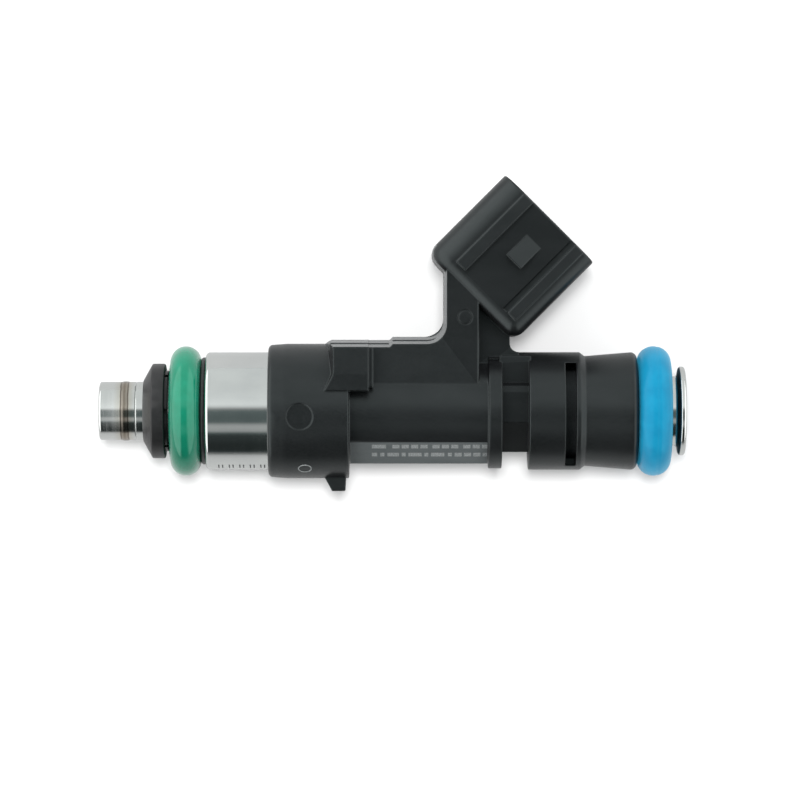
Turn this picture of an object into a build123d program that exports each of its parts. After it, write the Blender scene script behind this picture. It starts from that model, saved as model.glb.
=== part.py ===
from build123d import *

import os
from math import cos, radians, sin, sqrt

# Port fuel injector with a lock-on electrical socket, as an assembly of its real pieces, in mm.
# X runs along the injector's axis, from the spray tip (-X) to the fuel inlet (+X), and is 0 at the
# middle of the lower O-ring. Y points from the axis to the electrical socket. Z is up when the
# injector lies on its side. Each piece is written to parts/NODE.step.

os.makedirs("parts", exist_ok=True)

# Overall sizes
SEAL_SPACING = 52.8  # between the middles of the two O-rings
SEAL_RADIUS = 7.32  # both O-rings, for 14 mm bores
TIP_X = -9.73  # spray end
INLET_X = 56.3  # fuel end
GAP = 0.02  # between pieces that fit in or on each other

# Metal tubes
SLEEVE_RADIUS, SLEEVE_BORE, SLEEVE_END_X = 3.30, 2.95, 20.0
INLET_RADIUS, INLET_BORE, INLET_START_X = 3.90, 3.45, 17.30
FLARE_RADIUS, FLARE_X = 5.02, 55.50
HOUSING_RADIUS, HOUSING_BORE, HOUSING_END_X = 6.63, 5.42, 17.25
NOSE_RADIUS, NOSE_X = 3.86, -2.55

LOWER_SEAL_WIDTH, UPPER_SEAL_WIDTH, SEAL_LAND_DEPTH = 3.45, 3.75, 0.02
BACKUP_X, BACKUP_RADIUS, HOUSING_X = 1.75, 6.05, 2.27

# Valve
BALL_RADIUS, BALL_X = 1.60, -7.08
LIFT = 0.08  # needle travel
SEAT_X, SEAT_TOP_X = -9.20, -5.60
SEAT_CONE_X, OUTLET_RADIUS = -8.60, 0.75
GUIDE_RADIUS = 1.64
ARMATURE_X, ARMATURE_TOP_X, ARMATURE_RADIUS = 0.80, 8.00, 2.88
POCKET_X, POCKET_RADIUS = 6.40, 1.52
POLE_X, POLE_END_X = ARMATURE_TOP_X + LIFT + GAP, 19.60
SPRING_END_X = 14.40

# Coil
BOBBIN_X, BOBBIN_END_X, BOBBIN_FLANGE = 4.20, 15.40, 0.60
BOBBIN_RADIUS, WINDING_BORE, WINDING_RADIUS = 5.20, 3.87, 5.00
COVER_X, COVER_END_X = 15.45, 17.20

# Moulded body
COLLAR_X, COLLAR_END_X, COLLAR_RADIUS = 9.33, 18.42, 7.60
BARREL_RADIUS = 5.96
FLANGE_X, FLANGE_END_X, FLANGE_RADIUS = 34.10, 35.61, 6.50
CLIP_SLOT_END_X, CLIP_NECK_RADIUS, CLIP_ROOF_Y, CLIP_WEB_Z = 38.63, 4.10, 5.80, 3.45
CLIP_HALF_WIDTH, CLIP_FLAT_LOW_Y, CLIP_FLAT_HIGH_Y = 4.63, -1.24, 2.15  # bevelled core in the slot
TOP_RADIUS, WAIST_X, WAIST_RADIUS, BODY_END_X = 6.64, 44.98, 6.20, 50.85
WEB_Z = 5.10  # half the thickness of the web and the front of the neck
NECK_X, NECK_STEP_X, NECK_END_X, NECK_BACK_Z = 29.10, 33.03, 36.49, 2.60
WEB_TOP_Y, WEB_STEP_Y, NECK_INSET = 8.00, 8.36, 0.30
FLANK_DRAFT, FLANK_INSET, LEDGE_INSET = 11.3, 0.85, 0.37  # top flanks of the web, with a fine ledge
FLANK_LEDGE_Z, FLANK_BASE_Z = 3.10, 1.25
PAD_X, PAD_END_X, PAD_Z, PAD_LEDGE_Z = 16.70, 20.63, 7.72, 5.70

# Electrical socket: u runs out of its mouth, v across it, in the XY plane
SOCKET_ANGLE = 45.0
SOCKET_BACK = (32.02, 12.69)  # middle of its closed end
SOCKET_LENGTH, SOCKET_HALF_V, SOCKET_Z = 12.57, 6.95, 5.60
CAVITY_DEPTH, CAVITY_HALF_V, CAVITY_Z = 10.20, 5.45, 4.62
RAIL_Z = 0.62  # how far the guide rails stand off the socket's sides
BLADE_WIDTH, BLADE_THICK, BLADE_V, BLADE_LENGTH = 1.50, 0.80, 2.10, 7.00

socket = Plane(
    origin=(*SOCKET_BACK, 0),
    x_dir=(cos(radians(SOCKET_ANGLE)), -sin(radians(SOCKET_ANGLE)), 0),
    z_dir=(cos(radians(SOCKET_ANGLE)), sin(radians(SOCKET_ANGLE)), 0),
)  # local x is v, local z is u, and local y is -Z of the part


def outline(corners):
    """A flat face from (x, y) or (x, y, rounding) corners."""
    face = make_face(Polyline(*[(x, y) for x, y, *_ in corners], close=True))
    for x, y, *rounding in corners:
        if rounding:
            corner = face.vertices().sort_by_distance((x, y, 0))[0]
            face = fillet(corner, rounding[0])
    return face


def turned(*corners):
    """A solid turned about X from (x, radius) or (x, radius, rounding) corners."""
    return revolve(outline(corners), Axis.X)


def ring(start, end, outer, inner=0.0):
    """A plain tube or disc on the X axis."""
    disc = Circle(outer) - Circle(inner) if inner else Circle(outer)
    return extrude(Plane.YZ.offset(start) * disc, end - start)


def block(x, y, z):
    """A box from three (low, high) pairs."""
    low, high = zip(x, y, z)
    size = [b - a for a, b in zip(low, high)]
    middle = [(a + b) / 2 for a, b in zip(low, high)]
    return Pos(*middle) * Box(*size)


def plate(corners, z):
    """A plate from an XY outline, as thick above the XY plane as below it."""
    return extrude(outline(corners), z, both=True)


def slab(low_u, high_u, low_v, high_v, low_z, high_z):
    """A box in the socket's own directions."""
    middle = ((low_v + high_v) / 2, -(low_z + high_z) / 2, (low_u + high_u) / 2)
    size = (high_v - low_v, high_z - low_z, high_u - low_u)
    return socket * (Pos(*middle) * Box(*size))


# ---------------------------------------------------------------- metal tubes and seals


def valve_sleeve():
    """Deep-drawn tube that carries the valve seat in its tip and passes up through the coil."""
    tube = turned(
        (TIP_X, SLEEVE_BORE, 0.08),
        (TIP_X, SLEEVE_RADIUS, 0.26),
        (-5.95, SLEEVE_RADIUS),
        (-5.88, SLEEVE_RADIUS - 0.06),
        (-5.80, SLEEVE_RADIUS),
        (SLEEVE_END_X, SLEEVE_RADIUS),
        (SLEEVE_END_X, SLEEVE_BORE),
    )
    bead = Pos(-7.0, 0, 0) * Rot(0, 90, 0) * Torus(SLEEVE_RADIUS - 0.42, 0.47)
    return tube + (bead - ring(TIP_X, 0, SLEEVE_RADIUS - 0.1))


def magnet_housing():
    """Turned steel pot round the coil, with a nose for the lower O-ring."""
    return turned(
        (NOSE_X, SLEEVE_RADIUS + GAP),
        (NOSE_X, NOSE_RADIUS, 0.15),
        (HOUSING_X, NOSE_RADIUS, 0.1),
        (HOUSING_X, HOUSING_RADIUS, 0.55),
        (HOUSING_END_X, HOUSING_RADIUS, 0.1),
        (HOUSING_END_X, HOUSING_BORE),
        (3.6, HOUSING_BORE, 0.2),
        (3.6, SLEEVE_RADIUS + GAP),
    )


def inlet_tube():
    """Long tube that carries the fuel from the flared inlet to the valve sleeve."""
    return turned(
        (INLET_START_X, SLEEVE_RADIUS + GAP),
        (INLET_START_X, INLET_RADIUS),
        (FLARE_X, INLET_RADIUS, 0.45),
        (FLARE_X, FLARE_RADIUS, 0.32),
        (INLET_X, FLARE_RADIUS, 0.32),
        (INLET_X, INLET_BORE, 0.55),
        (SLEEVE_END_X + GAP, INLET_BORE),
        (SLEEVE_END_X + GAP, SLEEVE_RADIUS + GAP),
    )


def o_ring(x, seat_radius, width):
    """Seal stretched on a tube, a little oval, with a narrow land where its mould halves met."""
    height = SEAL_RADIUS - seat_radius - GAP + SEAL_LAND_DEPTH
    section = Pos(x, SEAL_RADIUS + SEAL_LAND_DEPTH - height / 2) * Ellipse(width / 2, height / 2)
    section &= Pos(x, SEAL_RADIUS / 2) * Rectangle(2 * width, SEAL_RADIUS)
    return revolve(section, Axis.X)


def backup_ring():
    """Black plastic ring between the lower O-ring and the housing's shoulder."""
    return turned(
        (BACKUP_X, NOSE_RADIUS + GAP),
        (BACKUP_X, BACKUP_RADIUS, 0.3),
        (HOUSING_X - GAP, BACKUP_RADIUS, 0.08),
        (HOUSING_X - GAP, NOSE_RADIUS + GAP),
    )


def o_ring_retainer():
    """Moulded ring snapped on the nose, which keeps the lower O-ring from sliding off."""
    body = turned(
        (-4.77, SLEEVE_RADIUS + GAP),
        (-4.77, 3.50, 0.08),
        (-3.74, 5.35, 0.25),
        (-2.29, 5.35, 0.2),
        (-2.29, 4.56),
        (-1.90, 4.56, 0.12),
        (-1.90, NOSE_RADIUS + GAP),
        (NOSE_X - GAP, NOSE_RADIUS + GAP),
        (NOSE_X - GAP, SLEEVE_RADIUS + GAP),
    )
    slit = block((-2.29, -1.80), (3.9, 4.8), (-0.25, 0.25))
    for turn in range(6):
        body -= Rot(X=60 * turn + 30) * slit
    return body


# ---------------------------------------------------------------- valve


def valve_seat():
    """Seat with its cone, guide bore and flutes that let the fuel past the ball."""
    body = ring(SEAT_X, SEAT_TOP_X, SLEEVE_BORE - GAP)
    cone_top_x = SEAT_CONE_X + GUIDE_RADIUS - OUTLET_RADIUS
    body -= turned(
        (SEAT_X - 1, 0),
        (SEAT_X - 1, OUTLET_RADIUS),
        (SEAT_CONE_X, OUTLET_RADIUS),
        (cone_top_x, GUIDE_RADIUS),
        (SEAT_TOP_X + 1, GUIDE_RADIUS),
        (SEAT_TOP_X + 1, 0),
    )
    flute = Pos(cone_top_x + 0.3, 1.75, 0) * Rot(0, 90, 0) * Cylinder(
        0.35, 4, align=(Align.CENTER, Align.CENTER, Align.MIN)
    )
    for turn in range(5):
        body -= Rot(X=72 * turn) * flute
    return body


def spray_disc():
    """Thin disc with the metering holes."""
    disc = ring(SEAT_X - 0.28, SEAT_X - GAP, SLEEVE_BORE - 0.08)
    for turn in range(6):
        hole = Pos(0, 0.52 * cos(radians(60 * turn)), 0.52 * sin(radians(60 * turn)))
        disc -= hole * ring(SEAT_X - 1, SEAT_X + 1, 0.13)
    return disc


def valve_ball():
    return Pos(BALL_X, 0, 0) * Sphere(BALL_RADIUS)


def needle_tube():
    """Hollow stem between the ball and the armature, with cross holes for the fuel."""
    outer, inner, top_x = 1.05, 0.70, ARMATURE_X + 2.2
    tube = turned(
        (BALL_X + sqrt(BALL_RADIUS**2 - outer**2) + GAP, outer),
        (top_x, outer),
        (top_x, inner),
        (BALL_X + sqrt(BALL_RADIUS**2 - inner**2) + GAP, inner),
    )
    for x, turn in ((-4.3, 0), (-2.8, 90)):
        tube -= Pos(x, 0, 0) * Rot(X=turn) * Cylinder(0.34, 4)
    return tube


def armature():
    """Magnetic plunger, with the stem in its lower bore and the spring in its upper pocket."""
    return turned(
        (ARMATURE_X, 1.05 + GAP),
        (ARMATURE_X, ARMATURE_RADIUS - 0.35),
        (ARMATURE_X + 0.35, ARMATURE_RADIUS),
        (ARMATURE_TOP_X, ARMATURE_RADIUS, 0.12),
        (ARMATURE_TOP_X, POCKET_RADIUS),
        (POCKET_X, POCKET_RADIUS),
        (POCKET_X, 0.75),
        (ARMATURE_X + 2.22, 0.75),
        (ARMATURE_X + 2.22, 1.05 + GAP),
    )


def inner_pole():
    """Fixed iron core that pulls the armature when the coil is on."""
    return turned(
        (POLE_X, POCKET_RADIUS),
        (POLE_X, SLEEVE_BORE - GAP, 0.12),
        (POLE_END_X, SLEEVE_BORE - GAP, 0.3),
        (POLE_END_X, POCKET_RADIUS),
    )


def return_spring():
    """Compression spring between the armature and the adjusting sleeve."""
    wire, radius, pitch = 0.20, 1.22, 0.89
    start, end = POCKET_X + GAP + wire, SPRING_END_X - wire
    path = Helix(pitch=pitch, height=end - start, radius=radius)
    coil = sweep(Plane(origin=path @ 0, z_dir=path % 0) * Circle(wire), path=path, is_frenet=True)
    return Pos(start, 0, 0) * Rot(0, 90, 0) * coil


def adjusting_sleeve():
    """Slotted tube pressed into the pole, which sets the spring's load."""
    tube = ring(SPRING_END_X + GAP, 21.6, POCKET_RADIUS - GAP, 1.05)
    return tube - block((SPRING_END_X, 22), (0, 2), (-0.2, 0.2))


# ---------------------------------------------------------------- fuel filter


FILTER_BAND = (47.6, 51.0)
FILTER_FOOT_X = 39.6


def filter_band():
    """Metal band that holds the filter in the inlet tube."""
    return turned(
        (FILTER_BAND[0], 3.10),
        (FILTER_BAND[0], INLET_BORE - GAP, 0.15),
        (FILTER_BAND[1], INLET_BORE - GAP, 0.1),
        (FILTER_BAND[1], 3.10, 0.1),
    )


def filter_frame():
    """Moulded cage of the filter: a top ring, four ribs and a foot."""
    frame = ring(FILTER_BAND[0], FILTER_BAND[1] - 0.3, 3.10 - GAP, 2.46)
    frame += turned(
        (FILTER_FOOT_X, 0), (FILTER_FOOT_X, 2.7, 0.3), (FILTER_FOOT_X + 0.7, 2.7), (FILTER_FOOT_X + 0.7, 0)
    )
    for turn in range(4):
        rib = block((FILTER_FOOT_X + 0.3, FILTER_BAND[0] + 0.5), (2.46, 2.85), (-0.3, 0.3))
        frame += Rot(X=90 * turn + 45) * rib
    return frame


def filter_screen():
    """Fine mesh sleeve inside the cage."""
    return ring(FILTER_FOOT_X + 0.7 + GAP, FILTER_BAND[1] - 0.3, 2.44, 2.34)


# ---------------------------------------------------------------- coil and contacts


def coil_bobbin():
    core = ring(BOBBIN_X, BOBBIN_END_X, WINDING_BORE - GAP, SLEEVE_RADIUS + 0.03)
    for x in (BOBBIN_X, BOBBIN_END_X - BOBBIN_FLANGE):
        core += ring(x, x + BOBBIN_FLANGE, BOBBIN_RADIUS, SLEEVE_RADIUS + 0.03)
    return core


def coil_winding():
    start, end = BOBBIN_X + BOBBIN_FLANGE + GAP, BOBBIN_END_X - BOBBIN_FLANGE - GAP
    return ring(start, end, WINDING_RADIUS, WINDING_BORE)


def magnet_cover():
    """Slotted ring that closes the pot over the coil and returns the magnetic flux."""
    cover = ring(COVER_X, COVER_END_X, HOUSING_BORE - GAP, SLEEVE_RADIUS + GAP)
    return cover - block((COVER_X - 1, COVER_END_X + 1), (3.9, 6), (-2.2, 2.2))


def contact(strip_y, strip_height, riser_x, blade_v, side):
    """One stamped contact: tail at the coil, strip along the body, riser in the neck, and blade."""
    half = BLADE_THICK / 2
    tail_y, tail_z = (4.2, 4.9), (1.1, 1.8)
    across = sorted((-half * side, tail_z[1] * side))
    tail_z = sorted((tail_z[0] * side, tail_z[1] * side))
    step_x = (17.6, 18.8)
    low, high = strip_y, strip_y + strip_height
    blade_x = SOCKET_BACK[0] + blade_v * cos(radians(SOCKET_ANGLE))
    riser_top = SOCKET_BACK[1] - blade_v * sin(radians(SOCKET_ANGLE)) + riser_x - blade_x
    piece = block((COVER_X + GAP, step_x[1]), tail_y, tail_z)
    piece += block(step_x, (tail_y[0], high), tail_z)
    piece += block(step_x, (low, high), across)
    piece += block((step_x[0], riser_x + 0.6), (low, high), (-half, half))
    piece += block((riser_x - 0.6, riser_x + 0.6), (low, riser_top), (-half, half))
    blade_end = SOCKET_LENGTH - CAVITY_DEPTH + BLADE_LENGTH
    blade = slab(-0.3, blade_end, blade_v - BLADE_WIDTH / 2, blade_v + BLADE_WIDTH / 2, -half, half)
    tip = blade.faces().sort_by(Axis((*SOCKET_BACK, 0), socket.z_dir))[-1]
    return piece + chamfer(tip.edges(), 0.24, 0.3)


# ---------------------------------------------------------------- moulded body


def body_of_revolution():
    return turned(
        (COLLAR_X, 0),
        (COLLAR_X, COLLAR_RADIUS - 0.16, 0.5),
        (COLLAR_X + 2.2, COLLAR_RADIUS),
        (COLLAR_END_X, COLLAR_RADIUS, 0.14),
        (COLLAR_END_X, BARREL_RADIUS, 0.15),
        (FLANGE_X, BARREL_RADIUS, 0.1),
        (FLANGE_X, FLANGE_RADIUS, 0.12),
        (FLANGE_END_X, FLANGE_RADIUS, 0.1),
        (FLANGE_END_X, CLIP_NECK_RADIUS, 0.12),
        (CLIP_SLOT_END_X, CLIP_NECK_RADIUS, 0.12),
        (CLIP_SLOT_END_X, TOP_RADIUS, 0.1),
        (WAIST_X - 0.55, TOP_RADIUS, 0.3),
        (WAIST_X, WAIST_RADIUS, 0.15),
        (BODY_END_X, TOP_RADIUS + 0.05, 0.65),
        (BODY_END_X, 0),
    )


def web_outline(inset, spare=0.0):
    """Front view of the web and neck, with its top inset, and its hidden sides moved out by spare."""
    neck_x = NECK_X + min(inset, NECK_INSET)
    return outline(
        [
            (PAD_END_X - 1 - spare, -spare),
            (PAD_END_X - 1 - spare, WEB_TOP_Y - inset),
            (23.0, WEB_TOP_Y - inset),
            (23.36, WEB_STEP_Y - inset),
            (neck_x, WEB_STEP_Y - inset, 2.2),
            (neck_x, 17.2 + spare),
            (NECK_STEP_X + spare, 13.3 + spare),
            (NECK_STEP_X + spare, -spare),
        ]
    )


def web_and_neck():
    """Web on top of the barrel, and the stepped neck that carries the socket."""
    front = extrude(web_outline(0), WEB_Z, both=True)
    spare = 2.0
    drafted = extrude(web_outline(-0.3, spare), FLANK_BASE_Z, both=True)
    for inset, top_z, low_z in (
        (FLANK_INSET, WEB_Z, FLANK_LEDGE_Z),
        (LEDGE_INSET, FLANK_LEDGE_Z, FLANK_BASE_Z),
    ):
        face = Pos(0, 0, top_z) * web_outline(inset, spare)
        flank = extrude(face, top_z - low_z, dir=(0, 0, -1), taper=-FLANK_DRAFT)
        drafted += flank + mirror(flank, Plane.XY)
    front &= drafted
    riser = [
        e
        for e in front.edges()
        if abs(abs(e.center().Z) - WEB_Z) < 1e-6 and abs(e.center().X - NECK_STEP_X) < 1e-6
    ]
    front = fillet(riser, 0.25)
    back = plate(
        [
            (NECK_STEP_X - 1, 3),
            (NECK_END_X + 1, 3),
            (NECK_END_X + 1, TOP_RADIUS),
            (NECK_END_X, TOP_RADIUS, 0.98),
            (NECK_END_X, 10),
            (NECK_STEP_X - 1, 14),
        ],
        NECK_BACK_Z,
    )
    roof = ring(FLANGE_X, CLIP_SLOT_END_X + 0.2, TOP_RADIUS)
    roof &= block((FLANGE_X, CLIP_SLOT_END_X + 0.2), (CLIP_ROOF_Y, 8), (-8, 8))
    roof += block((FLANGE_END_X - 0.3, CLIP_SLOT_END_X + 0.2), (3, 6.2), (-CLIP_WEB_Z, CLIP_WEB_Z))
    half = [
        (3.2, 0),
        (3.2, CLIP_WEB_Z),
        (2.85, CLIP_HALF_WIDTH - 0.3),
        (CLIP_FLAT_HIGH_Y, CLIP_HALF_WIDTH),
        (CLIP_FLAT_LOW_Y, CLIP_HALF_WIDTH),
        (-CLIP_HALF_WIDTH, -CLIP_FLAT_LOW_Y),
        (-CLIP_HALF_WIDTH, 0),
    ]
    lengthwise = Plane(origin=(FLANGE_END_X - 0.3, 0, 0), x_dir=(0, 1, 0), z_dir=(1, 0, 0))
    core = extrude(lengthwise * outline(half), CLIP_SLOT_END_X - FLANGE_END_X + 0.5)
    return front + back + roof + core + mirror(core, Plane.XY)


def anti_turn_pad():
    """Raised pad on each side of the collar's end, bevelled on top and drafted at its left."""
    foot_y, bend_y = 2.3, 4.1
    face = outline(
        [
            (PAD_X, WEB_TOP_Y + 2),
            (PAD_X, bend_y, 1.2),
            (PAD_X - 1.0, foot_y - 0.2),
            (PAD_END_X + 3, foot_y - 0.2),
            (PAD_END_X + 3, WEB_TOP_Y + 2),
        ]
    )
    pad = extrude(Pos(0, 0, PAD_Z) * face, 6, dir=(0, 0, -1), taper=-9)
    end_view = [
        (WEB_TOP_Y - 3, 0),
        (WEB_TOP_Y, 0),
        (WEB_TOP_Y, PAD_LEDGE_Z - 1.85),
        (WEB_TOP_Y - LEDGE_INSET, PAD_LEDGE_Z),
        (WEB_TOP_Y - LEDGE_INSET - 0.08, PAD_LEDGE_Z),
        (WEB_TOP_Y - FLANK_INSET, PAD_Z, 0.1),
        (bend_y, PAD_Z, 0.4),
        (foot_y, PAD_Z - 0.22),
        (foot_y, 0),
    ]
    lengthwise = Plane(origin=(PAD_X - 3, 0, 0), x_dir=(0, 1, 0), z_dir=(1, 0, 0))
    pad &= extrude(lengthwise * outline(end_view), PAD_END_X - PAD_X + 3)
    ramp = [(PAD_X - 2, 0), (PAD_X - 2, 7), (PAD_X - 0.2, WEB_TOP_Y), (PAD_END_X, WEB_TOP_Y), (PAD_END_X, 0)]
    pad &= plate(ramp, PAD_Z)
    ledge = block((PAD_END_X - 0.1, PAD_END_X + 0.48), (2.7, 7.1), (0, 6.3))
    return pad + ledge


def socket_shell():
    """Outside of the electrical socket: rounded case, guide rails and lock ramp."""
    case = outline(
        [
            (-SOCKET_HALF_V, -SOCKET_Z, 2.7),
            (SOCKET_HALF_V, -SOCKET_Z, 1.7),
            (SOCKET_HALF_V, SOCKET_Z, 1.7),
            (-SOCKET_HALF_V, SOCKET_Z, 2.7),
        ]
    )
    shell = extrude(socket * case, SOCKET_LENGTH)
    mouth_and_back = shell.faces().sort_by(Axis((*SOCKET_BACK, 0), socket.z_dir))
    shell = fillet(mouth_and_back[0].edges(), 1.55)
    front = shell.faces().sort_by(Axis((*SOCKET_BACK, 0), socket.z_dir))[-1]
    shell = fillet(front.edges(), 0.22)
    rail_start = 1.7
    for side in (1, -1):
        for low_v, high_v in ((-3.95, -2.50), (4.13, 5.40)):
            low_z, high_z = sorted(((SOCKET_Z - 0.8) * side, (SOCKET_Z + RAIL_Z) * side))
            rail = slab(rail_start, SOCKET_LENGTH - 0.12, low_v, high_v, low_z, high_z)
            outer = rail.faces().sort_by(Axis.Z)[-1 if side > 0 else 0]
            shell += fillet(outer.edges(), 0.14)
    groove = slab(rail_start, SOCKET_LENGTH + 1, 3.44, 4.13, SOCKET_Z - 0.35, SOCKET_Z + 1)
    shell -= groove
    ramp_low, ramp_high = SOCKET_LENGTH - 6.36, SOCKET_LENGTH - 3.10
    slope = make_face(
        Polyline(
            (ramp_low, SOCKET_Z - 0.3),
            (ramp_low, SOCKET_Z + 0.95),
            (ramp_high, SOCKET_Z),
            (ramp_high, SOCKET_Z - 0.3),
            close=True,
        )
    )
    lengthwise = Plane(
        origin=socket.from_local_coords((-0.53, 0, 0)), x_dir=socket.z_dir, z_dir=socket.x_dir
    )
    shell += extrude(lengthwise * slope, 2.23)
    return shell


def socket_cavity():
    """Inside of the socket."""
    mouth = outline(
        [
            (-CAVITY_HALF_V, -CAVITY_Z, 1.6),
            (CAVITY_HALF_V, -CAVITY_Z, 1.2),
            (CAVITY_HALF_V, CAVITY_Z, 1.2),
            (-CAVITY_HALF_V, CAVITY_Z, 1.6),
        ]
    )
    floor = SOCKET_LENGTH - CAVITY_DEPTH
    return extrude(socket.offset(floor) * mouth, CAVITY_DEPTH + 1)


def overmould(contacts):
    """Glass-filled plastic moulded round the pot, the inlet tube and the contacts."""
    body = body_of_revolution() + web_and_neck()
    pad = anti_turn_pad()
    body += pad + mirror(pad, Plane.XY)
    tab = plate(
        [
            (PAD_X - 1.03, -7.0),
            (PAD_X - 1.03, -7.5),
            (PAD_X - 0.20, -9.02, 0.12),
            (PAD_X + 1.30, -9.02, 0.12),
            (PAD_X + 1.40, -7.0),
        ],
        1.4,
    )
    body += tab + socket_shell()
    body -= socket_cavity()

    pocket = ring(42.69, 43.91, 9, 5.3) & block((42, 45), (-6.1, 5.4), (0.5, 9))
    body -= pocket + mirror(pocket, Plane.XY)
    label = Plane(origin=(18.6, 0, 0), x_dir=(0, sin(radians(31)), cos(radians(31))), z_dir=(1, 0, 0))
    body -= extrude(label * Pos(0, 7.49) * Rectangle(6, 4), FLANGE_X - 0.15 - 18.6)
    dimple = Cylinder(1.49, 2, align=(Align.CENTER, Align.CENTER, Align.MIN))
    body -= Rot(X=4.75) * Pos(12.95, 0, COLLAR_RADIUS - 0.24) * dimple
    ring_mark = Cylinder(0.86, 1) - Cylinder(0.70, 1)
    body -= Pos(31.45, 10.5, WEB_Z + 0.42) * ring_mark

    body -= turned(
        (COLLAR_X - 9, 0),
        (COLLAR_X - 9, HOUSING_RADIUS + GAP),
        (HOUSING_END_X + GAP, HOUSING_RADIUS + GAP),
        (HOUSING_END_X + GAP, INLET_RADIUS + GAP),
        (INLET_X + 9, INLET_RADIUS + GAP),
        (INLET_X + 9, 0),
    )
    for piece in contacts:
        body -= piece
    return body


def main():
    contacts = {
        "contact_front": contact(6.15, 1.0, 30.6, -BLADE_V, 1),
        "contact_back": contact(4.55, 1.0, 33.55, BLADE_V, -1),
    }
    pieces = {
        "overmould": overmould(contacts.values()),
        "valve_sleeve": valve_sleeve(),
        "magnet_housing": magnet_housing(),
        "inlet_tube": inlet_tube(),
        "backup_ring": backup_ring(),
        "lower_o_ring": o_ring(0, NOSE_RADIUS, LOWER_SEAL_WIDTH),
        "upper_o_ring": o_ring(SEAL_SPACING, INLET_RADIUS, UPPER_SEAL_WIDTH),
        "o_ring_retainer": o_ring_retainer(),
        "valve_seat": valve_seat(),
        "spray_disc": spray_disc(),
        "valve_ball": valve_ball(),
        "needle_tube": needle_tube(),
        "armature": armature(),
        "inner_pole": inner_pole(),
        "return_spring": return_spring(),
        "adjusting_sleeve": adjusting_sleeve(),
        "filter_band": filter_band(),
        "filter_frame": filter_frame(),
        "filter_screen": filter_screen(),
        "coil_bobbin": coil_bobbin(),
        "coil_winding": coil_winding(),
        "magnet_cover": magnet_cover(),
        **contacts,
    }
    for name, piece in pieces.items():
        export_step(piece, f"parts/{name}.step")


main()
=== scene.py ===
import math

import bmesh
import bpy
from mathutils import Matrix, Vector


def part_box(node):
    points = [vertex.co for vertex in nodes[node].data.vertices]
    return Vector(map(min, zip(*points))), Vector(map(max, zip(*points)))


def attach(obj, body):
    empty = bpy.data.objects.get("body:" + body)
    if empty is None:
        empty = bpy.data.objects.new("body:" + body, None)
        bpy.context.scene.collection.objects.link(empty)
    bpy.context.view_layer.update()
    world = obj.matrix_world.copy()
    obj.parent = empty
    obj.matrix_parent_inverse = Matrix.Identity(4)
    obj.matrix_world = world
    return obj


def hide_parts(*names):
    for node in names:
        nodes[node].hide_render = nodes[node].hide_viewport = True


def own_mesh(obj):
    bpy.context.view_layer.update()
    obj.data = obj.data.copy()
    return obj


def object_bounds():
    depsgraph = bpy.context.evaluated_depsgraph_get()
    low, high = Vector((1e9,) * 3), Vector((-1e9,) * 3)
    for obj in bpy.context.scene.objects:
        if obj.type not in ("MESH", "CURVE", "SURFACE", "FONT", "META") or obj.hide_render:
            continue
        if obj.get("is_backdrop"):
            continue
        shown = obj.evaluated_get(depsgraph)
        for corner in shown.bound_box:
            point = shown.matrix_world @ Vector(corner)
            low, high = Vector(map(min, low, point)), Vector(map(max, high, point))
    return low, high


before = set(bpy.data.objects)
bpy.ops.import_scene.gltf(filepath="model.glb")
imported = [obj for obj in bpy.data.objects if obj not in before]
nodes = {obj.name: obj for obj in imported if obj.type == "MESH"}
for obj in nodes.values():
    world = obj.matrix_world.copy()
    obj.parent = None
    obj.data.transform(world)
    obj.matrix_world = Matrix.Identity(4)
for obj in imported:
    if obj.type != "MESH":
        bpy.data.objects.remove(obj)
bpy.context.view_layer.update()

mm = 0.001
print("frame loaded")


def linear(hexColour):
    channels = [int(hexColour[i:i + 2], 16) / 255 for i in (1, 3, 5)]
    return [c / 12.92 if c <= 0.04045 else ((c + 0.055) / 1.055) ** 2.4 for c in channels] + [1.0]


def addNode(tree, kind, links=None, **settings):
    # an input is given a value, or (node, output) to link it to
    node = tree.nodes.new(kind)
    for name, value in settings.items():
        setattr(node, name, value)
    for name, value in (links or {}).items():
        if isinstance(value, tuple) and isinstance(value[0], bpy.types.Node):
            tree.links.new(value[0].outputs[value[1]], node.inputs[name])
        else:
            node.inputs[name].default_value = value
    return node


def setRamp(ramp, stops):
    stops = list(stops)
    elements = ramp.color_ramp.elements
    while len(elements) < len(stops):
        elements.new(0.5)
    for element, (place, colour) in zip(elements, stops):
        element.position = place
        element.color = colour


def grey(value):
    return [value, value, value, 1.0]


def newMaterial(name, **sockets):
    material = bpy.data.materials.new(name)
    material.use_nodes = True
    tree = material.node_tree
    shader = tree.nodes["Principled BSDF"]
    for socket, value in sockets.items():
        shader.inputs[socket.replace("_", " ")].default_value = value
    return material, tree, shader


def addPattern(tree, pattern):
    # a texture on the piece's own coordinates, with features pattern["size"] mm across
    place = addNode(tree, "ShaderNodeTexCoord")
    scale = [share / (pattern["size"] * mm) for share in pattern.get("stretch", (1, 1, 1))]
    mapping = addNode(tree, "ShaderNodeMapping", {"Vector": (place, "Object"), "Scale": scale})
    links = {"Vector": (mapping, "Vector"), "Scale": 1.0, **pattern.get("inputs", {"Detail": 3.0})}
    texture = addNode(tree, pattern.get("kind", "ShaderNodeTexNoise"), links, **pattern.get("settings", {}))
    return texture, pattern.get("output", 0)


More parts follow.
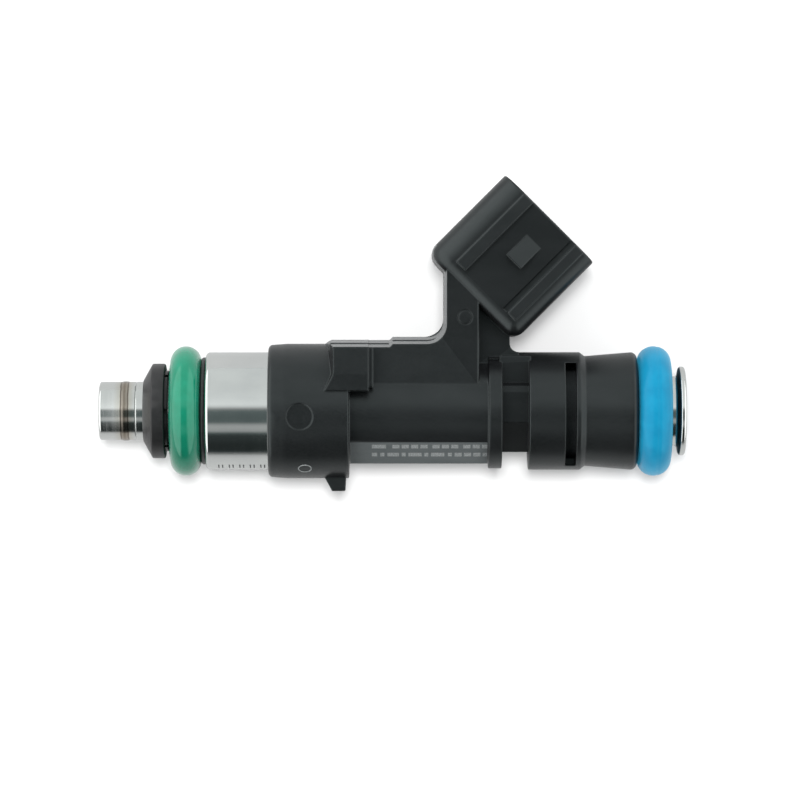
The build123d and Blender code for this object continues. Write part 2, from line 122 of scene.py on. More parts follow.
def finishedMaterial(name, finish, **sockets):
    # the colour varies with the clouds, and the roughness and bump with the grain, which is finer;
    # a material with no clouds has everything from its grain
    low, high = (linear(colour) for colour in finish["colours"])
    middle = [(a + b) / 2 for a, b in zip(low, high)]
    material, tree, shader = newMaterial(name, Base_Color=middle, **sockets)
    grain = addPattern(tree, finish["grain"])
    clouds = addPattern(tree, finish["clouds"]) if "clouds" in finish else grain
    tint = addNode(tree, "ShaderNodeValToRGB", {"Fac": clouds})
    setRamp(tint, zip(finish.get("colourSpread", (0.35, 0.65)), (low, high)))
    tree.links.new(tint.outputs["Color"], shader.inputs["Base Color"])
    if "rough" in finish:
        source = grain
        if finish.get("cloudedRough"):
            source = (addNode(tree, "ShaderNodeMath", {0: grain, 1: clouds}, operation="ADD"), 0)
        first, last = finish.get("roughSpread", (0.3, 0.7))
        spread = addNode(tree, "ShaderNodeMapRange", {
            "Value": source, "From Min": first, "From Max": last,
            "To Min": finish["rough"][0], "To Max": finish["rough"][1],
        })
        tree.links.new(spread.outputs["Result"], shader.inputs["Roughness"])
    if "bump" in finish:
        links = {"Height": grain, "Distance": finish["bump"] * mm, "Strength": 1.0}
        if "edge" in finish:
            edge = addNode(tree, "ShaderNodeBevel", {"Radius": finish["edge"] * mm}, samples=8)
            links["Normal"] = (edge, "Normal")
        bump = addNode(tree, "ShaderNodeBump", links)
        tree.links.new(bump.outputs["Normal"], shader.inputs["Normal"])
    return material


def setMaterial(piece, material):
    piece.data.materials.clear()
    piece.data.materials.append(material)


edgeRules = {"sharpFrom": 34, "flatSharpFrom": 14.5, "flatArea": 0.8, "weld": 0.0002}  # degrees and mm


def addPiece(name, bm, materials, stands=()):
    # an edge is sharp where it turns a lot, or where it turns a little between two broad faces
    bmesh.ops.remove_doubles(bm, verts=bm.verts, dist=edgeRules["weld"] * mm)
    bmesh.ops.recalc_face_normals(bm, faces=bm.faces)
    broad = edgeRules["flatArea"] * mm * mm
    for face in bm.faces:
        face.smooth = True
    for edge in bm.edges:
        if len(edge.link_faces) == 2:
            turn = math.degrees(edge.calc_face_angle())
            flat = min(face.calc_area() for face in edge.link_faces) > broad
            edge.smooth = turn < (edgeRules["flatSharpFrom"] if flat else edgeRules["sharpFrom"])
    mesh = bpy.data.meshes.new(name)
    bm.to_mesh(mesh)
    bm.free()
    if "custom_normal" in mesh.attributes:
        mesh.attributes.remove(mesh.attributes["custom_normal"])
    piece = bpy.data.objects.new(name, mesh)
    bpy.context.scene.collection.objects.link(piece)
    even = piece.modifiers.new("evenShading", "WEIGHTED_NORMAL")
    even.keep_sharp = True
    for material in materials:
        mesh.materials.append(material)
    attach(piece, "injector_body")
    if stands:
        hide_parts(*stands)
    return piece


def roundedOutline(corners, segments=5):
    # closed wire of (x, radius, rounding) corners in mm
    bm = bmesh.new()
    verts = [bm.verts.new((x * mm, radius * mm, 0)) for x, radius, *_ in corners]
    bm.faces.new(verts)
    for vert, corner in zip(verts, corners):
        if len(corner) > 2:
            bmesh.ops.bevel(
                bm, geom=[vert], offset=corner[2] * mm, offset_type="OFFSET", affect="VERTICES",
                segments=segments, profile=0.5, material=-1,
            )
    bmesh.ops.delete(bm, geom=bm.faces[:], context="FACES_ONLY")
    return bm


def turned(corners, steps=160, segments=5):
    # a solid of revolution about the X axis
    bm = roundedOutline(corners, segments)
    bmesh.ops.spin(
        bm, geom=bm.verts[:] + bm.edges[:], cent=(0, 0, 0), axis=(1, 0, 0),
        angle=math.tau, steps=steps, use_merge=True,
    )
    return bm


print("helpers ready")


def mouldedNylon(name, colours, rough, edge, gloss):
    # glass-filled nylon 66, injection moulded: a near black, cool, dull surface with a fine spark-eroded
    # grain, drawn about 0.2 mm wide so that it shows, faint streaks where the melt flowed, and edges
    # that catch a thin line of light
    return finishedMaterial(name, {
        "colours": colours, "clouds": {"size": 2.4, "stretch": (0.35, 1.0, 1.0), "inputs": {"Detail": 4.0}},
        "grain": {"size": 0.2}, "rough": (rough, rough + 0.1), "bump": 0.005, "edge": edge,
    }, Specular_IOR_Level=gloss, Specular_Tint=linear("#f0ffff"))


def polishedSteel():
    # ferritic stainless, turned and polished: bright, slightly warm, with hair lines round it
    return finishedMaterial("polishedStainlessPot", {
        "colours": ("#c9cccb", "#d1d4d2"),
        "clouds": {"size": 3.2, "stretch": (0.6, 1.0, 1.0), "inputs": {"Detail": 4.0}},
        "grain": {"size": 0.16, "stretch": (1.0, 0.02, 0.02), "inputs": {"Detail": 2.0}},
        "rough": (0.09, 0.15), "roughSpread": (0.7, 1.3), "cloudedRough": True, "bump": 0.0009,
    }, Metallic=1.0)


heatTint = {
    # stretch of the tube in mm that the ramp covers, and how far the tint wanders
    "start": -8.0, "end": -5.6, "wander": 0.16,
    "stops": [
        (0.0, "#cccfcd"), (0.3, "#c3c2ba"), (0.34, "#5c5148"), (0.4, "#a39d93"), (0.52, "#857c70"),
        (0.64, "#a39d93"), (0.69, "#5c5148"), (0.74, "#c0beb5"), (1.0, "#cccfcd"),
    ],
}


def drawnSteel():
    # austenitic stainless tube, deep drawn: silvery, faint lines round it, straw to brown at the weld
    size = heatTint
    material = finishedMaterial("drawnStainlessTube", {
        "colours": ("#cccfcd", "#cccfcd"),
        "grain": {"size": 0.14, "stretch": (1.0, 0.03, 0.03), "inputs": {"Detail": 2.0}},
        "rough": (0.09, 0.17), "bump": 0.0012,
    }, Metallic=1.0)
    tree = material.node_tree
    place = addNode(tree, "ShaderNodeTexCoord")
    split = addNode(tree, "ShaderNodeSeparateXYZ", {"Vector": (place, "Object")})
    shift = addNode(
        tree, "ShaderNodeMath",
        {0: addPattern(tree, {"size": 1.1}), 1: size["wander"] * mm, 2: (split, "X")},
        operation="MULTIPLY_ADD",
    )
    along = addNode(tree, "ShaderNodeMapRange", {
        "Value": (shift, 0), "From Min": size["start"] * mm, "From Max": size["end"] * mm,
        "To Min": 0.0, "To Max": 1.0,
    })
    tint = addNode(tree, "ShaderNodeValToRGB", {"Fac": (along, "Result")})
    setRamp(tint, [(share, linear(colour)) for share, colour in size["stops"]])
    tree.links.new(tint.outputs["Color"], tree.nodes["Principled BSDF"].inputs["Base Color"])
    return material


def sealRubber(name, colours, rough, bump, gloss, bloom, tint):
    # fluorocarbon rubber, compression moulded: saturated, evenly smooth, paler towards its outline
    return finishedMaterial(
        name,
        {"colours": colours, "clouds": {"size": 1.8}, "grain": {"size": 0.18},
         "rough": (rough - 0.04, rough + 0.06), "bump": bump},
        Specular_IOR_Level=0.5, Specular_Tint=linear(tint), Coat_Weight=gloss, Coat_Roughness=0.06,
        Sheen_Weight=bloom, Sheen_Roughness=0.4, Sheen_Tint=linear(tint),
    )


def workedMetal(name, colours, rough, lineSize, stretch):
    # fine lines left by the tool, round the piece or along it, in its colour, gloss and bump
    return finishedMaterial(name, {
        "colours": colours, "grain": {"size": lineSize, "stretch": stretch, "inputs": {"Detail": 2.0}},
        "rough": (rough - 0.05, rough + 0.08), "bump": 0.002,
    }, Metallic=1.0)


roundIt = (1.0, 0.05, 0.05)  # lines that run round the axis
alongIt = (0.3, 1.0, 1.0)
everyWay = (1.0, 1.0, 1.0)

nylon = mouldedNylon("mouldedGlassFilledNylon", ("#0c0d0e", "#121314"), 0.29, 0.24, 0.42)
# the field under the laser marks: a duller grey than the moulding, painted paler as a painted reflection
labelReflectionNylon = mouldedNylon("labelPaintedReflectionNylon", ("#454a4b", "#4e5354"), 0.42, 0.1, 0.42)
# the drafted flanks that the tool's polished slides form: smoother and glossier, and painted paler as a
# painted reflection
flankReflectionNylon = mouldedNylon("flankPaintedReflectionNylon", ("#414344", "#494b4c"), 0.1, 0.04, 0.42)
# floor of the slots, left dull by an eroded core pin
pocketNylon = mouldedNylon("coreFormedNylon", ("#0e0f10", "#141617"), 0.6, 0.1, 0.22)
# flats in the recesses, in the clip slot and under the socket: the same nylon, less glossy, and painted
# darker as painted shade
shadedFlatNylon = mouldedNylon("flatPaintedShadeNylon", ("#090a0b", "#0f1011"), 0.32, 0.16, 0.3)
# unfilled polyamide, moulded and tumbled: flat black with a soft sheen on its cone
ringPlastic = finishedMaterial("tumbledPolyamide", {
    "colours": ("#0c0d0e", "#131415"), "clouds": {"size": 1.6}, "grain": {"size": 0.15},
    "rough": (0.32, 0.45), "bump": 0.004,
}, Specular_IOR_Level=0.5)
potSteel = polishedSteel()
tubeSteel = drawnSteel()
greenRubber = sealRubber(
    "greenFluorocarbonRubber", ("#0a634b", "#0f6b53"), rough=0.15, bump=0.0008, gloss=0.6, bloom=0.12,
    tint="#6fe0b8",
)
blueRubber = sealRubber(
    "blueFluorosiliconeRubber", ("#0d6787", "#106f8f"), rough=0.34, bump=0.002, gloss=0.1, bloom=0.36,
    tint="#4cb6da",
)
# hardened stainless, centreless ground: pale and smooth
groundSteel = workedMetal("groundHardenedSteel", ("#b9b9b8", "#c9c9c8"), 0.18, 0.12, roundIt)
# soft magnetic stainless, turned: a little darker, with visible tool lines
magnetSteel = workedMetal("turnedMagneticSteel", ("#9a9a99", "#adadab"), 0.3, 0.2, roundIt)
# phosphor bronze under electroplated tin, stamped: soft white metal, drawn along its length
tinPlate = workedMetal("tinPlatedBronze", ("#b8b6b0", "#cdcbc6"), 0.28, 0.3, alongIt)
# drawn brass band, bright and yellow
drawnBrass = workedMetal("drawnBrassBand", ("#b08d4a", "#c8a45c"), 0.24, 0.2, roundIt)
# stainless on the flare's underside, which faces the seal: dull, and painted dark as painted shade
shadedFlareSteel = workedMetal("flareUndersidePaintedShadeSteel", ("#4e4f50", "#5a5b5c"), 0.42, 0.2, everyWay)
# stainless dulled and darkened where the peening needle struck it
peenedSteel = workedMetal("peenedStainless", ("#4a4d4d", "#5d6060"), 0.4, 0.2, everyWay)
# unfilled nylon 66, injection moulded: milky and faintly translucent, with a fine grain
milkyNylon = finishedMaterial("naturalNylon", {
    "colours": ("#c6bfad", "#d8d2c2"), "grain": {"size": 0.25}, "rough": (0.38, 0.5), "bump": 0.004,
}, Subsurface_Weight=0.25, Subsurface_Scale=0.8 * mm)
# woven nylon monofilament: square weave, its 0.05 mm threads drawn 0.2 mm apart so that they show
screenMesh = finishedMaterial("wovenNylonScreen", {
    "colours": ("#8f8c83", "#e2e0d8"), "colourSpread": (0.0, 1.0),
    "grain": {"size": 0.2, "kind": "ShaderNodeTexChecker", "inputs": {}, "output": "Fac"},
}, Roughness=0.5)
# enamelled copper, wound in layers of 0.25 mm wire: orange brown with a glossy varnish
copperWire = finishedMaterial("enamelledCopperWinding", {
    "colours": ("#7c3d1c", "#b8642f"), "colourSpread": (0.1, 0.9),
    "grain": {"size": 0.25, "kind": "ShaderNodeTexWave", "inputs": {"Scale": 0.5 / math.pi},
              "settings": {"wave_type": "BANDS", "bands_direction": "X"}},
    "rough": (0.22, 0.36), "bump": 0.06,
}, Metallic=1.0)
# plastic foamed by the marking laser: pale grey and quite matte
markMaterial = finishedMaterial("laserFoamedNylon", {
    "colours": ("#676b6b", "#929696"), "grain": {"size": 0.12}, "rough": (0.55, 0.7), "bump": 0.005,
}, Specular_IOR_Level=0.3)
print("materials ready")

tipSleeve = {
    "radius": 3.30, "bore": 2.95, "end": 20.0, "tipRounding": 0.26, "mouthRounding": 0.08,
    "beadMiddle": -6.78, "beadWidth": 0.86, "beadHeight": 0.04, "rippleTurns": 74, "ripple": 0.012,
    "beadShoulder": 0.55, "beadCrown": 1.25, "rippleSlant": 2.4, "rippleMargin": 0.01,
    "grooveMiddle": -5.58, "grooveDepth": 0.07, "grooveHalf": 0.09,
}


def makeTipSleeve():
    size = tipSleeve
    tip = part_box("valve_sleeve")[0].x / mm
    outer = size["radius"]
    middle, half = size["beadMiddle"], size["beadWidth"] / 2
    shoulder = half * size["beadShoulder"]
    groove = size["grooveMiddle"]
    bm = turned([
        (tip, size["bore"], size["mouthRounding"]),
        (tip, outer, size["tipRounding"]),
        (middle - half, outer),
        (middle - shoulder, outer + size["beadHeight"]),
        (middle, outer + size["beadHeight"] * size["beadCrown"]),
        (middle + shoulder, outer + size["beadHeight"]),
        (middle + half, outer),
        (groove - size["grooveHalf"], outer),
        (groove, outer - size["grooveDepth"]),
        (groove + size["grooveHalf"], outer),
        (size["end"], outer),
        (size["end"], size["bore"]),
    ])
    # the weld's ripples, which slant a little round the bead
    for vert in bm.verts:
        spread = abs(vert.co.x / mm - middle)
        if spread < half - size["rippleMargin"]:
            turn = math.atan2(vert.co.z, vert.co.y)
            wave = math.sin(turn * size["rippleTurns"] + size["rippleSlant"] * spread)
            vert.co.yz *= 1 + size["ripple"] * wave / outer
    return addPiece("tip_sleeve", bm, [tubeSteel], ["valve_sleeve"])


magnetPot = {
    "radius": 6.63, "bore": 5.42, "shoulder": 2.27, "rounding": 0.45, "brokenEdge": 0.1, "floor": 3.6,
    "nose": 3.86, "noseStart": -2.55, "noseRounding": 0.15, "slip": 3.32, "floorRounding": 0.2,
}


def makeMagnetPot():
    size = magnetPot
    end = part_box("magnet_housing")[1].x / mm
    bm = turned([
        (size["noseStart"], size["slip"]),
        (size["noseStart"], size["nose"], size["noseRounding"]),
        (size["shoulder"], size["nose"], size["brokenEdge"]),
        (size["shoulder"], size["radius"], size["rounding"]),
        (end, size["radius"], size["brokenEdge"]),
        (end, size["bore"]),
        (size["floor"], size["bore"], size["floorRounding"]),
        (size["floor"], size["slip"]),
    ], steps=224)
    return addPiece("polished_pot", bm, [potSteel], ["magnet_housing"])


inletTube = {
    "radius": 3.90, "bore": 3.45, "slip": 3.32, "sleeveEnd": 20.02, "mouthRounding": 0.6,
    "flare": 5.02, "flareWidth": 0.74, "flareDraft": 0.06, "underRounding": 0.45, "backRounding": 0.3,
    "lipRounding": 0.32, "shadedLength": 1.5,
}


def makeInletTube():
    size = inletTube
    low, high = (corner.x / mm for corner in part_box("inlet_tube"))
    flareBack = high - size["flareWidth"]
    bm = turned([
        (low, size["slip"]),
        (low, size["radius"]),
        (flareBack - size["flareDraft"], size["radius"], size["underRounding"]),
        (flareBack, size["flare"], size["backRounding"]),
        (high, size["flare"], size["lipRounding"]),
        (high, size["bore"], size["mouthRounding"]),
        (size["sleeveEnd"], size["bore"]),
        (size["sleeveEnd"], size["slip"]),
    ], segments=8)
    # the underside of the flare, facing the seal, has the second material, painted dark as painted shade
    bmesh.ops.recalc_face_normals(bm, faces=bm.faces)
    for face in bm.faces:
        centre = face.calc_center_median() / mm
        nearEnd = centre.x > high - size["shadedLength"] and centre.yz.length > size["radius"]
        face.material_index = int(face.normal.x < -0.5 and nearEnd)
    return addPiece("flared_inlet", bm, [tubeSteel, shadedFlareSteel], ["inlet_tube"])


# flash: depth of the moulding line in mm, and flashShift: its place off the middle, as a share of the width
lowerSeal = {"seat": 3.86, "gap": 0.02, "flash": 0.012, "flashShift": 0.0}
upperSeal = {"seat": 3.90, "gap": 0.02, "flash": 0.05, "flashShift": 0.09}


def makeSeal(name, node, material, size):
    # oval section, with a fine moulding line on its outer edge
    low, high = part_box(node)
    outer = high.y / mm
    middle = (low.x + high.x) / 2 / mm
    width = (high.x - low.x) / mm
    height = outer - size["seat"] - size["gap"]
    bm = bmesh.new()
    bmesh.ops.create_circle(bm, cap_ends=False, radius=0.5, segments=72)
    bmesh.ops.scale(bm, vec=(width * mm, height * mm, 1), verts=bm.verts)
    bmesh.ops.translate(bm, vec=(middle * mm, (outer - height / 2) * mm, 0), verts=bm.verts)
    flashX = (middle + size["flashShift"] * width) * mm
    outerVerts = [v for v in bm.verts if v.co.y > (outer - height / 2) * mm]
    line = min(outerVerts, key=lambda v: abs(v.co.x - flashX))
    line.co.y -= size["flash"] * mm
    bmesh.ops.spin(
        bm, geom=bm.verts[:] + bm.edges[:], cent=(0, 0, 0), axis=(1, 0, 0),
        angle=math.tau, steps=160, use_merge=True,
    )
    return addPiece(name, bm, [material], [node])


labelField = {"tilt": 31.0, "distance": 5.49, "start": 18.5, "end": 34.2, "within": 0.05}
flankFaces = {"above": 7.0, "start": 15.5, "end": 29.6, "leanLow": 0.1, "leanHigh": 0.35}
pocketFloor = {"start": 42.7, "end": 43.9, "radius": 5.45}
socketFlat = {"height": 5.6, "start": -2.5, "end": 3.5, "back": (32.02, 12.69), "within": 0.05}
neckFlats = {"start": 29.0, "end": 36.6, "above": 6.9, "heights": (5.1, 4.68, 2.6), "within": 0.02}
clipSlot = {"start": 35.62, "end": 38.62, "radius": 6.3, "leanHigh": 0.1}
faces = {"flat": 0.999}  # a face counts as facing a direction from here on


def mouldAndPaintedLightZone(face):
    # which part of the mould formed a face, and which painted light it gets: 0 the cavity, 1 the label
    # field, painted paler as a painted reflection, 2 a slide, painted paler as a painted reflection, 3 a
    # core pin,
    # 4 a flat in a recess, in the clip slot or under the socket, painted darker as painted shade
    centre = face.calc_center_median() / mm
    normal = face.normal
    size = labelField
    tilt = math.radians(size["tilt"])
    outward = Vector((0, -math.cos(tilt), math.sin(tilt)))
    level = abs(centre.dot(outward) - size["distance"]) < size["within"]
    if level and normal.dot(outward) > faces["flat"] and size["start"] < centre.x < size["end"]:
        return 1
    size = flankFaces
    leans = size["leanLow"] < abs(normal.z) < size["leanHigh"]
    if leans and centre.y > size["above"] and size["start"] < centre.x < size["end"]:
        return 2
    size = pocketFloor
    if size["start"] < centre.x < size["end"] and centre.yz.length < size["radius"]:
        return 3
    facesUp = abs(normal.z) > faces["flat"]
    size = socketFlat
    across = (centre.x - size["back"][0] - (centre.y - size["back"][1])) / math.sqrt(2)
    level = abs(abs(centre.z) - size["height"]) < size["within"]
    if facesUp and level and size["start"] < across < size["end"]:
        return 4
    size = neckFlats
    level = min(abs(abs(centre.z) - height) for height in size["heights"]) < size["within"]
    if facesUp and level and centre.y > size["above"] and size["start"] < centre.x < size["end"]:
        return 4
    size = clipSlot
    inSlot = size["start"] < centre.x < size["end"] and centre.yz.length < size["radius"]
    if inSlot and abs(normal.x) < size["leanHigh"]:
        return 4
    return 0


def copiedMesh(node):
    # the frame's own shape, to be welded and shaded smooth, so that its curves don't show facets
    bm = bmesh.new()
    bm.from_mesh(nodes[node].data)
    bm.normal_update()
    return bm


def makeMouldedBody():
    bm = copiedMesh("overmould")
    for face in bm.faces:
        face.material_index = mouldAndPaintedLightZone(face)
    materials = [nylon, labelReflectionNylon, flankReflectionNylon, pocketNylon, shadedFlatNylon]
    return addPiece("moulded_body", bm, materials, ["overmould"])


def makeRetainer():
    bm = copiedMesh("o_ring_retainer")
    return addPiece("retainer_ring", bm, [ringPlastic], ["o_ring_retainer"])


def makeSpring():
    # a copy with a mesh of its own; in the injector its turns close up towards the sleeve that holds its
    # far end, as the needle lifts
    bm = copiedMesh("return_spring")
    piece = addPiece("coiled_spring", bm, [groundSteel], ["return_spring"])
    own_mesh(piece)
    return piece


makeTipSleeve()
makeMagnetPot()
makeInletTube()
makeSeal("green_seal", "lower_o_ring", greenRubber, lowerSeal)
blueSeal = makeSeal("blue_seal", "upper_o_ring", blueRubber, upperSeal)
makeMouldedBody()
makeRetainer()
makeSpring()
print("pieces made")

# nodes whose shape is right as it is
insideMaterials = {
    "backup_ring": ringPlastic, "valve_seat": groundSteel, "spray_disc": groundSteel,
    "valve_ball": groundSteel, "needle_tube": groundSteel, "adjusting_sleeve": groundSteel,
    "armature": magnetSteel, "inner_pole": magnetSteel, "magnet_cover": magnetSteel,
    "filter_band": drawnBrass, "filter_frame": milkyNylon, "filter_screen": screenMesh,
    "coil_bobbin": milkyNylon, "coil_winding": copperWire,
    "contact_front": tinPlate, "contact_back": tinPlate,
}
for name, material in insideMaterials.items():
    setMaterial(nodes[name], material)
print("inside pieces finished")

labelMarks = {
    "start": 21.0, "height": 0.8, "proud": 0.012,
    # rows: place across the flat, then dash lengths and gaps in mm
    "rows": [
        (1.42, [(1.6, 0.7), (0.8, 0.25), (0.8, 0.25), (0.8, 0.25), (0.8, 0.55), (0.8, 0.25), (0.8, 0.25),
                (0.8, 0.55), (0.8, 0.25), (0.8, 0.25), (0.8, 0.0)]),
        (-0.36, [(0.6, 0.35), (0.45, 0.35), (1.3, 0.3), (0.45, 0.3), (1.5, 0.3), (0.45, 0.3), (1.5, 0.4),
                 (0.45, 0.3), (0.8, 0.25), (0.8, 0.25), (0.8, 0.25), (0.8, 0.0)]),
    ],
}


def addBar(bm, size, place):
    # a flat bar, given by its size and middle in mm, and its own vertices
    verts = bmesh.ops.create_cube(bm, size=1.0)["verts"]
    bmesh.ops.scale(bm, vec=[s * mm for s in size], verts=verts)
    bmesh.ops.translate(bm, vec=[p * mm for p in place], verts=verts)
    return verts


def turnAboutAxis(bm, degrees, verts):
    turn = Matrix.Rotation(math.radians(degrees), 3, "X")
    bmesh.ops.rotate(bm, cent=(0, 0, 0), verts=verts, matrix=turn)


def makeLabelMarks():
    size = labelMarks
    bm = bmesh.new()
    for across, dashes in size["rows"]:
        x = size["start"]
        for length, gap in dashes:
            place = (x + length / 2, across, labelField["distance"])
            addBar(bm, (length, size["height"], size["proud"] * 2), place)
            x += length + gap
    # the rows lie on the XY plane's side first, and turn to the flat's own outward direction
    turnAboutAxis(bm, 90 - labelField["tilt"], bm.verts)
    return addPiece("label_dashes", bm, [markMaterial])


potMarks = {
    "start": 4.0, "step": 1.18, "turn": 70.0, "width": 0.16, "apart": 0.42, "arc": 1.0, "count": 5,
    "thick": 0.1, "sunk": 0.04, "rounding": 0.03,
}


def makePotMarks():
    # a row of short double strokes peened into the pot's lower edge
    size = potMarks
    bm = bmesh.new()
    for index in range(size["count"]):
        for side in (-0.5, 0.5):
            x = size["start"] + index * size["step"] + side * size["apart"]
            place = (x, 0, magnetPot["radius"] - size["sunk"])
            verts = addBar(bm, (size["width"], size["arc"], size["thick"]), place)
            turnAboutAxis(bm, size["turn"], verts)
    bmesh.ops.bevel(
        bm, geom=bm.edges[:], offset=size["rounding"] * mm, affect="EDGES", segments=2, profile=0.5,
        material=-1,
    )
    return addPiece("pot_strokes", bm, [peenedSteel])


collarMark = {"x": 13.5, "turn": 58.0, "radius": 0.72, "wire": 0.07, "surface": 7.58}


def makeCollarMark():
    # plain raised ring left by the mould on the collar
    size = collarMark
    bm = bmesh.new()
    bmesh.ops.create_circle(bm, cap_ends=False, radius=size["wire"] * mm, segments=12)
    turnAboutAxis(bm, 90, bm.verts)
    bmesh.ops.translate(bm, vec=(size["radius"] * mm, 0, 0), verts=bm.verts)
    bmesh.ops.spin(
        bm, geom=bm.verts[:] + bm.edges[:], cent=(0, 0, 0), axis=(0, 0, 1),
        angle=math.tau, steps=48, use_merge=True,
    )
    bmesh.ops.translate(bm, vec=(size["x"] * mm, 0, size["surface"] * mm), verts=bm.verts)
    turnAboutAxis(bm, size["turn"], bm.verts)
    return addPiece("collar_ring_mark", bm, [markMaterial])


makeLabelMarks()
makePotMarks()
makeCollarMark()
print("marks made")

studio = {
    "floorSize": 0.25, "cameraDistance": 480 * mm, "frameWidth": 89.3 * mm, "aim": (23.6 * mm, 1.8 * mm),
    "cardLight": 0.52, "cardGlow": 0.13,
    # painted shade: what the card gives back to the object, darker away from the lights, by its place from
    # -200 mm to 0 along Y
    "cardBack": [(0.0, 0.1), (0.15, 0.14), (0.74, 0.29), (0.88, 0.33), (1.0, 0.36)],
}


def makeFloor():
    bm = bmesh.new()
    bmesh.ops.create_grid(bm, x_segments=1, y_segments=1, size=studio["floorSize"])
    bmesh.ops.translate(bm, vec=(0, 0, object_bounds()[0].z), verts=bm.verts)
    mesh = bpy.data.meshes.new("studioFloor")
    bm.to_mesh(mesh)
    bm.free()
    floor = bpy.data.objects.new("studioFloor", mesh)
    bpy.context.scene.collection.objects.link(floor)
    # matte white card, lit from below where it is looked at, which keeps its shadows faint; what it
    # gives back to the object is painted shade, darker towards -Y, away from the lights
    material, tree, shader = newMaterial("matteWhiteCard", Roughness=0.9, Specular_IOR_Level=0.0)
    place = addNode(tree, "ShaderNodeTexCoord")
    split = addNode(tree, "ShaderNodeSeparateXYZ", {"Vector": (place, "Object")})
    along = addNode(
        tree, "ShaderNodeMapRange",
        {"Value": (split, "Y"), "From Min": -200 * mm, "From Max": 0.0, "To Min": 0.0, "To Max": 1.0},
    )
    fall = addNode(tree, "ShaderNodeValToRGB", {"Fac": (along, "Result")})
    setRamp(fall, [(share, grey(level)) for share, level in studio["cardBack"]])
    tree.links.new(fall.outputs["Color"], shader.inputs["Base Color"])
    bright = addNode(tree, "ShaderNodeBsdfDiffuse", {"Color": grey(studio["cardLight"])})
    glow = addNode(tree, "ShaderNodeEmission", {"Color": grey(1.0), "Strength": studio["cardGlow"]})
    both = addNode(tree, "ShaderNodeAddShader", {0: (bright, 0), 1: (glow, 0)})
    path = addNode(tree, "ShaderNodeLightPath")
    mix = addNode(
        tree, "ShaderNodeMixShader", {0: (path, "Is Camera Ray"), 1: (shader, 0), 2: (both, 0)},
    )
    tree.links.new(mix.outputs[0], tree.nodes["Material Output"].inputs["Surface"])
    setMaterial(floor, material)
    floor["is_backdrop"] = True
    return floor


def makeCamera():
    camera = bpy.data.objects.new("studioCamera", bpy.data.cameras.new("studioCamera"))
    camera.data.sensor_width = 36.0
    camera.data.lens = 36.0 * studio["cameraDistance"] / studio["frameWidth"]
    camera.data.clip_start = 0.01
    camera.data.clip_end = 20
    camera.location = (*studio["aim"], studio["cameraDistance"])
    bpy.context.scene.collection.objects.link(camera)
    bpy.context.scene.camera = camera


softLights = {
    # metres and watts
    "topSoftbox": {"place": (0.024, 0.1, 0.9), "aim": (0.024, 0, 0), "side": 0.16, "power": 9},
    "sideSoftbox": {"place": (0.0, 0.65, 0.65), "aim": (0.024, 0, 0), "side": 0.3, "power": 10},
    "sealFill": {"place": (0.06, -0.85, 0.25), "aim": (0.05, 0, 0), "side": 0.3, "power": 6},
}


def addSoftLight(name, lit):
    # a square soft box that lights only the objects given, and isn't seen in their gloss
    size = softLights[name]
    data = bpy.data.lights.new(name, "AREA")
    data.size = size["side"]
    data.energy = size["power"]
    light = bpy.data.objects.new(name, data)
    light.location = size["place"]
    facing = Vector(size["aim"]) - Vector(size["place"])
    light.rotation_euler = facing.to_track_quat("-Z", "Y").to_euler()
    light.visible_glossy = False
    bpy.context.scene.collection.objects.link(light)
    receivers = bpy.data.collections.new(name + "Receivers")
    for thing in lit:
        receivers.objects.link(thing)
    light.light_linking.receiver_collection = receivers


walls = {
    # degrees from overhead, + towards the socket's side, and brightness
    "bands": [
        (-180, 0.5), (-100, 0.3), (-91, 0.22), (-88, 0.05), (-82, 0.03), (-70, 0.03), (-58, 0.042),
        (-49, 0.048), (-44, 0.12), (-40, 0.42), (-31.6, 0.5), (-27, 0.42), (-22, 0.15), (-14, 0.136),
        (-4, 0.15), (0, 0.17), (4, 0.3), (7.5, 0.75), (12, 1.03), (18, 1.0), (28, 0.93), (46, 0.87),
        (90, 0.89), (130, 0.85), (180, 0.5),
    ],
    # share of red in the dark bands, which are a cool grey, and in the pale ones
    "darkUnder": 0.2, "darkRed": 0.8, "paleRed": 0.97,
    # panels off the ends: where one starts and is full, as the direction's X, and brightness
    "panels": [(-0.2, -0.45, 2.2), (0.28, 0.58, 1.8)],
}


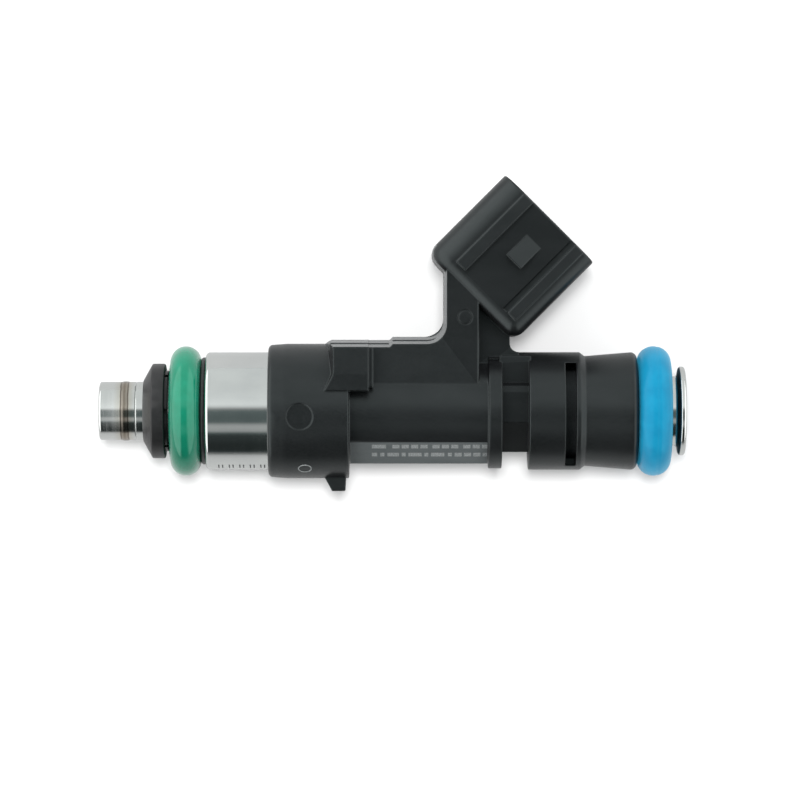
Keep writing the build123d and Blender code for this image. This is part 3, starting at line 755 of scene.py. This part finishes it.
def makeWorld():
    # studio walls and ceiling panels as bands by the direction's turn about the injector's axis
    world = bpy.data.worlds.new("studioWorld")
    bpy.context.scene.world = world
    world.use_nodes = True
    tree = world.node_tree
    tree.nodes.clear()
    place = addNode(tree, "ShaderNodeTexCoord")
    split = addNode(tree, "ShaderNodeSeparateXYZ", {"Vector": (place, "Generated")})
    turn = addNode(tree, "ShaderNodeMath", {0: (split, "Y"), 1: (split, "Z")}, operation="ARCTAN2")
    along = addNode(
        tree, "ShaderNodeMapRange",
        {"Value": (turn, 0), "From Min": -math.pi, "From Max": math.pi, "To Min": 0.0, "To Max": 1.0},
    )
    bands = addNode(tree, "ShaderNodeValToRGB", {"Fac": (along, "Result")})
    stops = []
    for angle, level in walls["bands"]:
        red = walls["darkRed"] if level < walls["darkUnder"] else walls["paleRed"]
        stops.append(((angle + 180) / 360, [level * red, level, level, 1.0]))
    setRamp(bands, stops)
    # large panels off both ends, the brighter one beyond the spray tip
    around = bands
    socket = "Color"
    for start, full, level in walls["panels"]:
        side = addNode(
            tree, "ShaderNodeMapRange",
            {"Value": (split, "X"), "From Min": start, "From Max": full, "To Min": 0.0, "To Max": 1.0},
            interpolation_type="SMOOTHSTEP",
        )
        around = addNode(
            tree, "ShaderNodeMix", {0: (side, "Result"), 6: (around, socket), 7: grey(level)},
            data_type="RGBA",
        )
        socket = 2
    glow = addNode(tree, "ShaderNodeBackground", {"Color": (around, 2), "Strength": 1.0})
    plain = addNode(tree, "ShaderNodeBackground", {"Color": grey(1.0), "Strength": 1.0})
    path = addNode(tree, "ShaderNodeLightPath")
    mix = addNode(
        tree, "ShaderNodeMixShader", {0: (path, "Is Camera Ray"), 1: (glow, 0), 2: (plain, 0)},
    )
    addNode(tree, "ShaderNodeOutputWorld", {"Surface": (mix, 0)})


pieces = [thing for thing in bpy.context.scene.objects if thing.type == "MESH"]
floor = makeFloor()
makeCamera()
addSoftLight("topSoftbox", [floor])
addSoftLight("sideSoftbox", pieces)
addSoftLight("sealFill", [blueSeal])
makeWorld()
bpy.context.scene.view_settings.view_transform = "Standard"
print("studio ready")
